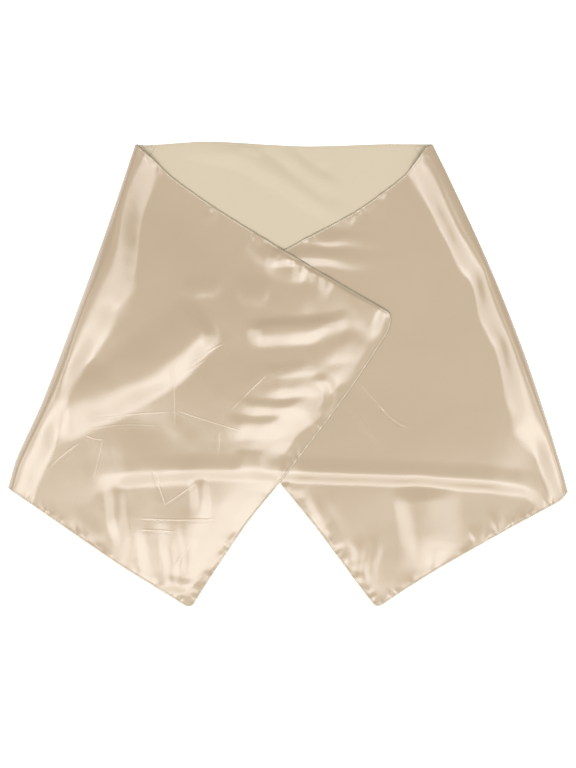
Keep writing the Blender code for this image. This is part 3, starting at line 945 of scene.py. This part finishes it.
def add_sheet(name, grid, threads, finish, reverse, flip):
    """A thin closed cloth through a grid of points in millimetres."""
    rows, columns = grid.shape[:2]
    index = np.arange(rows * columns).reshape(rows, columns)
    corners = [index[:-1, :-1], index[1:, :-1], index[1:, 1:], index[:-1, 1:]]
    quads = np.stack(corners, axis=-1).reshape(-1, 4)
    if flip:
        quads = quads[:, ::-1]
    mesh = bpy.data.meshes.new(name)
    mesh.from_pydata((grid.reshape(-1, 3) * MM).tolist(), [], quads.tolist())
    layer = mesh.uv_layers.new(name="threads")
    uv = threads.reshape(-1, 2)[quads.reshape(-1)] * MM
    layer.data.foreach_set("uv", uv.reshape(-1))
    mesh.materials.append(finish)
    mesh.materials.append(reverse)
    mesh.shade_smooth()
    thing = bpy.data.objects.new(name, mesh)
    bpy.context.scene.collection.objects.link(thing)
    shell = thing.modifiers.new("thickness of the cloth", "SOLIDIFY")
    shell.thickness = CLOTH_THICK * MM
    shell.offset = -1.0
    shell.material_offset = 1
    print(name, 4 * len(quads), "triangles in its two sides")
    return thing


# %% The two fronts with their side rolls
ALONG = 252
ACROSS = 172
UNDER_STATIONS = 3
CURL_STATIONS = 9
CREST_STATIONS = 18
UNDER_TURN = -1.12
CLOTH_INSET = 1.6
FINE_STEP = 2.0
ACROSS_STEP = 4.6
ALONG_STEP = 3.0
ALONG_SPAN = 1200.0


def stations_across(count):
    """Distances from the upper hem of the rows of points across a sheet."""
    shares = crowded(count, FINE_STEP, ACROSS_STEP, CLOTH_WIDTH)
    return CLOTH_INSET + shares * (CLOTH_WIDTH - 2.0 * CLOTH_INSET)


def front_sheet(side):
    """One end of the stole with its side roll, as a sheet."""
    v = stations_across(ACROSS)
    under = np.linspace(UNDER_TURN, -1.0, UNDER_STATIONS, endpoint=False)
    curl = np.linspace(-1.0, 0.0, CURL_STATIONS, endpoint=False)
    climb = np.linspace(0.0, 1.0, CREST_STATIONS, endpoint=False)
    rest = ALONG - UNDER_STATIONS - CURL_STATIONS - CREST_STATIONS
    share = crowded(2 * rest, FINE_STEP, ALONG_STEP, ALONG_SPAN)[:rest]
    share = 1.0 - share[::-1] / share[-1]
    share = (share - share[0]) / (share[-1] - share[0])
    share, v_beyond = np.meshgrid(share, v, indexing="ij")
    reach = front_length(side, v_beyond / CLOTH_WIDTH)
    crest = crest_inset(side, v_beyond / CLOTH_WIDTH)
    distance = crest + share * (reach - CLOTH_INSET - crest)
    inset, v_moved = round_corner(reach - distance, v_beyond, CORNER_RADIUS)
    inset, v_low = round_corner(inset, CLOTH_WIDTH - v_moved, CORNER_RADIUS)
    v_moved = CLOTH_WIDTH - v_low
    distance = front_length(side, v_moved / CLOTH_WIDTH) - inset

    turns, v_start = np.meshgrid(np.concatenate([under, curl, climb]), v, indexing="ij")
    turn = np.vstack([turns, turn_at(side, distance, v_moved / CLOTH_WIDTH)])
    v_all = np.vstack([v_start, v_moved])
    grid = cloth_face(side, turn, v_all / CLOTH_WIDTH)
    threads = np.stack([turn * TURN_LENGTH, v_all], axis=-1)
    thing = add_sheet(side + "_front_cloth", grid, threads, SATIN, REVERSE, side == "left")
    crease_side, crease_depth = crease_fields(grid[..., :2], FRONT_CREASES[side])
    add_field(thing, "crease side", crease_side)
    add_field(thing, "crease depth", crease_depth)
    return thing


left_cloth = front_sheet("left")
right_cloth = front_sheet("right")

# %% [markdown]
# ## The back
#
# The back lies with its face on the table, so what shows in the neck is the
# matt reverse. Two long soft folds cross it from the neck hem.


# %% The back
BACK_ALONG = 250
BACK_ACROSS = 170
BACK_CRUMPLE = Crumple(0.35, 80.0, 51)
BACK_FADE = 0.06
LAP = 0.15


def back_point(share, v):
    """Reverse side of the back, at a share of the way between the two curls."""
    q = v / CLOTH_WIDTH
    span = (1.0 - q) * edge_length("back neck") + q * edge_length("back lower")
    inset = curl_depth(q)
    distance = inset + share * (span - 2.0 * inset)
    plan = back_plan("left", distance, q)
    crumple = BACK_CRUMPLE.height * noise(plan, BACK_CRUMPLE.cell, BACK_CRUMPLE.seed)
    height = fold_lift(plan, BACK_FOLDS) + crumple
    height = height + puckers("back neck", distance, v, PUCKER_SEEDS["neck"])
    fade = ease(0.0, BACK_FADE, share) * (1.0 - ease(1.0 - BACK_FADE, 1.0, share))
    lift = np.maximum(height * fade, 0.0) + CLOTH_THICK + LAP * (1.0 - fade)
    return np.concatenate([plan, lift[..., None]], axis=-1), distance


def back_sheet():
    """The middle of the stole, face down."""
    v = stations_across(BACK_ACROSS)
    share, v = np.meshgrid(np.linspace(0.0, 1.0, BACK_ALONG), v, indexing="ij")
    grid, distance = back_point(share, v)
    threads = np.stack([distance, v], axis=-1)
    return add_sheet("back_cloth", grid, threads, REVERSE, SATIN_PLAIN, True)


back_cloth = back_sheet()

# %% [markdown]
# ## The hem
#
# The edge is turned twice and sewn down, which leaves a narrow roll that is
# thicker than the cloth and a little uneven. It is a closed bar whose section
# is carried along the edge and round the corners.

# %% The hem
HEM_STEP = 1.6
HEM_RING = 10
HEM_LEAN = 0.08
UNDER_HEM_STATIONS = 60
UNDER_HEM_TURN = -1.5
CORNER_STATIONS = 12
BACK_HEM_STATIONS = 420
BACK_HEM_PAST = 0.01


def hem_section():
    """Inset from the edge and height above the cloth's reverse, round the section."""
    angle = np.linspace(0.0, 2.0 * math.pi, HEM_RING, endpoint=False)
    inset = 0.5 * HEM_WIDTH * (1.0 - np.cos(angle))
    height = 0.5 * HEM_THICK * (1.0 - np.sin(angle) * (1.0 - HEM_LEAN + HEM_LEAN * np.cos(angle)))
    return inset, height


def plumpness(travel, seed):
    """How full the hem is at distances along it, about 1."""
    walk = np.stack([travel, np.zeros_like(travel)], axis=-1)
    return 1.0 + 0.14 * noise(walk, 5.0, seed) + 0.1 * noise(walk, 14.0, seed + 1)


def add_bar(name, sections, threads, finish):
    """A closed bar through a row of ring sections."""
    count, size = sections.shape[:2]
    index = np.arange(count * size).reshape(count, size)
    after = np.roll(index, -1, axis=1)
    quads = np.stack([index[:-1], after[:-1], after[1:], index[1:]], axis=-1).reshape(-1, 4)
    faces = quads.tolist() + [index[0, ::-1].tolist(), index[-1].tolist()]
    mesh = bpy.data.meshes.new(name)
    mesh.from_pydata((sections.reshape(-1, 3) * MM).tolist(), [], faces)
    layer = mesh.uv_layers.new(name="threads")
    loops = np.concatenate([np.array(face) for face in faces])
    layer.data.foreach_set("uv", (threads.reshape(-1, 2)[loops] * MM).reshape(-1))
    mesh.materials.append(finish)
    mesh.shade_smooth()
    thing = bpy.data.objects.new(name, mesh)
    bpy.context.scene.collection.objects.link(thing)
    return thing


def point_outwards(thing):
    """Turns all the faces of a closed piece outwards."""
    work = bmesh.new()
    work.from_mesh(thing.data)
    bmesh.ops.recalc_face_normals(work, faces=work.faces)
    work.to_mesh(thing.data)
    work.free()


def hem_line(side, inset):
    """Turn and share across of a line at one inset from the hems of a front.

    It runs along the upper edge, round the corner, down the short end, round
    the second corner and back along the lower edge, with the part under the
    fold at both ends.
    """
    under = np.linspace(UNDER_HEM_TURN, 1.0, UNDER_HEM_STATIONS, endpoint=False)
    upper_length = front_length(side, 0.0)
    lower_length = front_length(side, 1.0)
    upper_run = np.arange(crest_inset(side, 0.0), upper_length - CORNER_RADIUS, HEM_STEP)
    end_run = np.arange(CORNER_RADIUS, CLOTH_WIDTH - CORNER_RADIUS, HEM_STEP)
    lower_run = np.arange(lower_length - CORNER_RADIUS, crest_inset(side, 1.0), -HEM_STEP)
    angle = np.linspace(0.0, 0.5 * math.pi, CORNER_STATIONS)[1:-1]
    tight = CORNER_RADIUS - inset
    u_corner = CORNER_RADIUS - tight * np.sin(angle)
    v_corner = CORNER_RADIUS - tight * np.cos(angle)

    v = np.concatenate([
        np.full(len(under) + len(upper_run), inset),
        v_corner,
        end_run,
        CLOTH_WIDTH - v_corner[::-1],
        np.full(len(lower_run) + len(under), CLOTH_WIDTH - inset),
    ])
    q = v / CLOTH_WIDTH
    reach = front_length(side, q)
    from_end = np.concatenate([u_corner, np.full(len(end_run), inset), u_corner[::-1]])
    first = len(under) + len(upper_run)
    last = first + len(from_end)
    distance = np.zeros(len(v))
    distance[len(under) : first] = upper_run
    distance[first:last] = reach[first:last] - from_end
    distance[last : len(v) - len(under)] = lower_run
    turn = turn_at(side, distance, q)
    turn[: len(under)] = under
    turn[len(v) - len(under) :] = under[::-1]
    return turn, q


def normals_of(side, turn, q):
    """Direction that the cloth's face looks at each point."""
    small_turn = 0.02
    small_q = 0.002
    by_turn = cloth_face(side, turn + small_turn, q) - cloth_face(side, turn - small_turn, q)
    high = np.minimum(q + small_q, 1.0)
    low = np.maximum(q - small_q, 0.0)
    by_q = cloth_face(side, turn, high) - cloth_face(side, turn, low)
    normal = np.cross(by_turn, by_q)
    if side == "left":
        normal = -normal
    return normal / np.linalg.norm(normal, axis=-1, keepdims=True)


def make_front_hem(side):
    """The hem of one front as a piece."""
    ring_inset, ring_height = hem_section()
    lines = [hem_line(side, inset) for inset in ring_inset]
    turn = np.stack([line[0] for line in lines], axis=1)
    q = np.stack([line[1] for line in lines], axis=1)
    face = cloth_face(side, turn, q)
    middle = face.mean(axis=1, keepdims=True)
    normal = normals_of(side, turn.mean(axis=1, keepdims=True), q.mean(axis=1, keepdims=True))
    travel = np.concatenate([[0.0], np.cumsum(np.linalg.norm(np.diff(middle[:, 0], axis=0), axis=1))])
    lift = (ring_height[None, :] - SOLID_WALL) * plumpness(travel, 71)[:, None]
    sections = face + normal * lift[..., None]
    round_ring = np.arange(HEM_RING, dtype=float)[None, :]
    threads = np.stack(np.broadcast_arrays(travel[:, None], round_ring), axis=-1)
    thing = add_bar(side + "_hem", sections, threads, HEM_SATIN_WITH_PAINTED_HIGHLIGHT)
    point_outwards(thing)
    print(thing.name, round(travel[-1]), "mm")
    return thing


left_hem = make_front_hem("left")
right_hem = make_front_hem("right")


def make_back_hem(edge):
    """Hem of the back along its neck edge or its lower edge."""
    ring_inset, ring_height = hem_section()
    v = ring_inset if edge == "neck" else CLOTH_WIDTH - ring_inset
    share = np.linspace(-BACK_HEM_PAST, 1.0 + BACK_HEM_PAST, BACK_HEM_STATIONS)
    share, v = np.meshgrid(share, v, indexing="ij")
    points, distance = back_point(share, v)
    points[..., 2] += ring_height[None, :] * plumpness(distance[:, :1], 73) - CLOTH_THICK
    threads = np.stack([distance, v], axis=-1)
    thing = add_bar("back_" + edge + "_hem_roll", points, threads, REVERSE)
    point_outwards(thing)
    return thing


neck_hem = make_back_hem("neck")
lower_hem = make_back_hem("lower")

# %% [markdown]
# ## The stitches
#
# A row of small stitches holds each hem that shows. One tree of Geometry Nodes
# makes a row, because stitches follow a path at an even pitch: it walks the
# line, sets a short thread on each step, lays it along the line and makes real
# mesh of the result.

# %% A row of stitches by Geometry Nodes
STITCH_INSET = 3.6
STITCH_PITCH = 3.2
STITCH_LENGTH = 2.3
THREAD_RADIUS = 0.2
STITCH_UNEVEN = 0.12
STITCH_SEED = 5
NECK_LINE_POINTS = 300


def tree_input(tree, name, kind, value):
    """A named input of the tree."""
    socket = tree.interface.new_socket(name, in_out="INPUT", socket_type=kind)
    if value is not None:
        socket.default_value = value
    return socket


def join(tree, *links):
    """Links nodes: each link is a node, its output, a node and its input."""
    for from_node, output, to_node, socket in links:
        tree.links.new(from_node.outputs[output], to_node.inputs[socket])


def stitch_tree():
    """The tree that turns a line into a row of stitches."""
    tree = bpy.data.node_groups.new("row of stitches", "GeometryNodeTree")
    tree_input(tree, "Line", "NodeSocketGeometry", None)
    tree_input(tree, "Pitch", "NodeSocketFloat", STITCH_PITCH * MM)
    tree_input(tree, "Length", "NodeSocketFloat", STITCH_LENGTH * MM)
    tree_input(tree, "Radius", "NodeSocketFloat", THREAD_RADIUS * MM)
    tree_input(tree, "Uneven", "NodeSocketFloat", STITCH_UNEVEN * MM)
    tree_input(tree, "Thread", "NodeSocketMaterial", None)
    tree.interface.new_socket("Stitches", in_out="OUTPUT", socket_type="NodeSocketGeometry")
    given = add_node(tree, "NodeGroupInput")
    result = add_node(tree, "NodeGroupOutput")

    line = add_node(tree, "GeometryNodeMeshToCurve")
    steps = add_node(tree, "GeometryNodeResampleCurve", mode="LENGTH")
    join(
        tree,
        (given, "Line", line, "Mesh"),
        (line, "Curve", steps, "Curve"),
        (given, "Pitch", steps, "Length"),
    )

    ball = add_node(tree, "GeometryNodeMeshUVSphere", {"Segments": 6, "Rings": 4, "Radius": 1.0})
    half = add_node(tree, "ShaderNodeMath", {1: 0.5}, operation="MULTIPLY")
    size = add_node(tree, "ShaderNodeCombineXYZ")
    thread = add_node(tree, "GeometryNodeTransform")
    join(
        tree,
        (given, "Length", half, 0),
        (half, "Value", size, "X"),
        (given, "Radius", size, "Y"),
        (given, "Radius", size, "Z"),
        (ball, "Mesh", thread, "Geometry"),
        (size, "Vector", thread, "Scale"),
    )

    shift = add_node(tree, "FunctionNodeRandomValue", {"Seed": STITCH_SEED}, data_type="FLOAT_VECTOR")
    negative = add_node(tree, "ShaderNodeMath", {1: -1.0}, operation="MULTIPLY")
    placed = add_node(tree, "GeometryNodeSetPosition")
    join(
        tree,
        (given, "Uneven", negative, 0),
        (negative, "Value", shift, "Min"),
        (given, "Uneven", shift, "Max"),
        (steps, "Curve", placed, "Geometry"),
        (shift, "Value", placed, "Offset"),
    )

    up = add_node(tree, "GeometryNodeInputNamedAttribute", {"Name": "up"}, data_type="FLOAT_VECTOR")
    tangent = add_node(tree, "GeometryNodeInputTangent")
    stand = add_node(tree, "FunctionNodeAlignRotationToVector", axis="Z")
    follow = add_node(tree, "FunctionNodeAlignRotationToVector", axis="X", pivot_axis="Z")
    copies = add_node(tree, "GeometryNodeInstanceOnPoints")
    real = add_node(tree, "GeometryNodeRealizeInstances")
    finish = add_node(tree, "GeometryNodeSetMaterial")
    join(
        tree,
        (up, "Attribute", stand, "Vector"),
        (stand, "Rotation", follow, "Rotation"),
        (tangent, "Tangent", follow, "Vector"),
        (placed, "Geometry", copies, "Points"),
        (thread, "Geometry", copies, "Instance"),
        (follow, "Rotation", copies, "Rotation"),
        (copies, "Instances", real, "Geometry"),
        (real, "Geometry", finish, "Geometry"),
        (given, "Thread", finish, "Material"),
        (finish, "Geometry", result, "Stitches"),
    )
    return tree


STITCHES = stitch_tree()


def add_stitches(name, points, up):
    """A row of stitches along a line of points, as one plain mesh."""
    mesh = bpy.data.meshes.new(name + "_line")
    edges = [(index, index + 1) for index in range(len(points) - 1)]
    mesh.from_pydata((points * MM).tolist(), edges, [])
    field = mesh.attributes.new("up", "FLOAT_VECTOR", "POINT")
    field.data.foreach_set("vector", np.ascontiguousarray(up, dtype=float).reshape(-1))
    line = bpy.data.objects.new(name + "_line", mesh)
    bpy.context.scene.collection.objects.link(line)
    row = line.modifiers.new("stitches", "NODES")
    row.node_group = STITCHES
    for item in STITCHES.interface.items_tree:
        if item.item_type == "SOCKET" and item.in_out == "INPUT" and item.name == "Thread":
            row[item.identifier] = THREAD
    graph = bpy.context.evaluated_depsgraph_get()
    plain = bpy.data.meshes.new_from_object(line.evaluated_get(graph), depsgraph=graph)
    bpy.data.objects.remove(line)
    plain.shade_smooth()
    thing = bpy.data.objects.new(name, plain)
    bpy.context.scene.collection.objects.link(thing)
    print(name, len(plain.polygons), "faces")
    return thing


def on_hem(inset):
    """Height of the top of a hem above the cloth's face at an inset."""
    lean = 1.0 - 2.0 * inset / HEM_WIDTH
    return 0.5 * HEM_THICK * (1.0 + math.sqrt(1.0 - lean * lean)) - SOLID_WALL


def front_stitches(side):
    """The row of stitches along the hem of one front."""
    turn, q = hem_line(side, STITCH_INSET)
    up = normals_of(side, turn, q)
    points = cloth_face(side, turn, q) + up * (on_hem(STITCH_INSET) + 0.5 * THREAD_RADIUS)
    return add_stitches(side + "_hem_stitches", points, up)


def neck_stitches():
    """The row of stitches along the neck hem of the back."""
    share = np.linspace(0.0, 1.0, NECK_LINE_POINTS)
    points, _ = back_point(share, np.full(len(share), STITCH_INSET))
    points[:, 2] += on_hem(STITCH_INSET) + SOLID_WALL - CLOTH_THICK + 0.5 * THREAD_RADIUS
    up = np.tile((0.0, 0.0, 1.0), (len(share), 1))
    return add_stitches("neck_hem_stitches", points, up)


left_thread = front_stitches("left")
right_thread = front_stitches("right")
neck_thread = neck_stitches()

# %% [markdown]
# ## What stands for what
#
# Every piece rides on the one body and replaces the solids that it stands for. The table also names a
# slot of the record for each piece.

# %% Bodies, slots and sheets
PIECES = (
    (back_cloth, "satin_reverse", ("back_panel",)),
    (left_cloth, "satin_face", ("left_front", "left_fold")),
    (right_cloth, "satin_face", ("right_front", "right_fold")),
    (neck_hem, "hem", ("back_neck_hem",)),
    (lower_hem, "hem", ("back_lower_hem",)),
    (left_hem, "hem", ("left_upper_hem", "left_end_hem", "left_lower_hem")),
    (right_hem, "hem", ("right_upper_hem", "right_end_hem", "right_lower_hem")),
)
for piece, slot, nodes in PIECES:
    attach(piece, "root")
    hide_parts(*nodes)
for piece in (left_thread, right_thread, neck_thread):
    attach(piece, "root")

print("three sheets and their hems ride on the one body")

# %% [markdown]
# ## Table, light and camera
#
# The camera looks straight down. Satin shows its folds by what it mirrors, so
# the lights are large and soft and stand to the left, to the right and beyond
# the tips, with nothing bright overhead.

# %% Table
TABLE_SIZE = 6.0
TABLE_DROP = 0.0002
TABLE_GLOW = 0.45
bpy.ops.mesh.primitive_plane_add(size=TABLE_SIZE, location=(0.0, 0.0, -TABLE_DROP))
table = bpy.context.object
table.name = "table"
table_finish, table_tree, table_shader = new_finish("pale table", TABLE_COLOUR, 0.9, 0.1)
table_shader.inputs["Emission Color"].default_value = (1.0, 1.0, 1.0, 1.0)
table_shader.inputs["Emission Strength"].default_value = TABLE_GLOW
table.data.materials.append(table_finish)

# %% Lights and camera
CAMERA_HEIGHT = 10.0
SENSOR_WIDTH = 36.0
VIEW_LENGTH = 1.536
VIEW_CENTRE = (0.0002, -0.0172)
ROOM_GLOW = 0.4
LIGHT_DISTANCE = 8.0

Light = namedtuple("Light", "name azimuth tilt size power")
LIGHTS = (
    Light("left light", azimuth=205.0, tilt=27.0, size=(4.8, 5.4), power=194.0),
    Light("right light", azimuth=-25.0, tilt=27.0, size=(4.8, 5.4), power=194.0),
    Light("near light", azimuth=-90.0, tilt=25.0, size=(4.8, 6.4), power=230.0),
)


def add_light(light):
    """A soft rectangular light, tilted from straight above towards an azimuth."""
    data = bpy.data.lights.new(light.name, "AREA")
    data.shape = "RECTANGLE"
    data.size, data.size_y = light.size
    data.energy = light.power
    lamp = bpy.data.objects.new(light.name, data)
    bpy.context.scene.collection.objects.link(lamp)
    azimuth = math.radians(light.azimuth)
    tilt = math.radians(light.tilt)
    lamp.location = (
        LIGHT_DISTANCE * math.sin(tilt) * math.cos(azimuth),
        LIGHT_DISTANCE * math.sin(tilt) * math.sin(azimuth),
        LIGHT_DISTANCE * math.cos(tilt),
    )
    lamp.rotation_euler = (0.0, tilt, azimuth)
    lamp.visible_camera = False


for light in LIGHTS:
    add_light(light)

world = bpy.data.worlds.new("soft room")
world.use_nodes = True
world.node_tree.nodes["Background"].inputs["Color"].default_value = (1.0, 1.0, 1.0, 1.0)
world.node_tree.nodes["Background"].inputs["Strength"].default_value = ROOM_GLOW
bpy.context.scene.world = world

camera_data = bpy.data.cameras.new("camera")
camera_data.sensor_width = SENSOR_WIDTH
camera_data.lens = CAMERA_HEIGHT * SENSOR_WIDTH / VIEW_LENGTH
camera = bpy.data.objects.new("camera", camera_data)
camera.location = (*VIEW_CENTRE, CAMERA_HEIGHT)
bpy.context.scene.collection.objects.link(camera)
bpy.context.scene.camera = camera
bpy.context.scene.view_settings.view_transform = "Standard"
print(len(LIGHTS), "lights, and the camera is", CAMERA_HEIGHT, "m up")
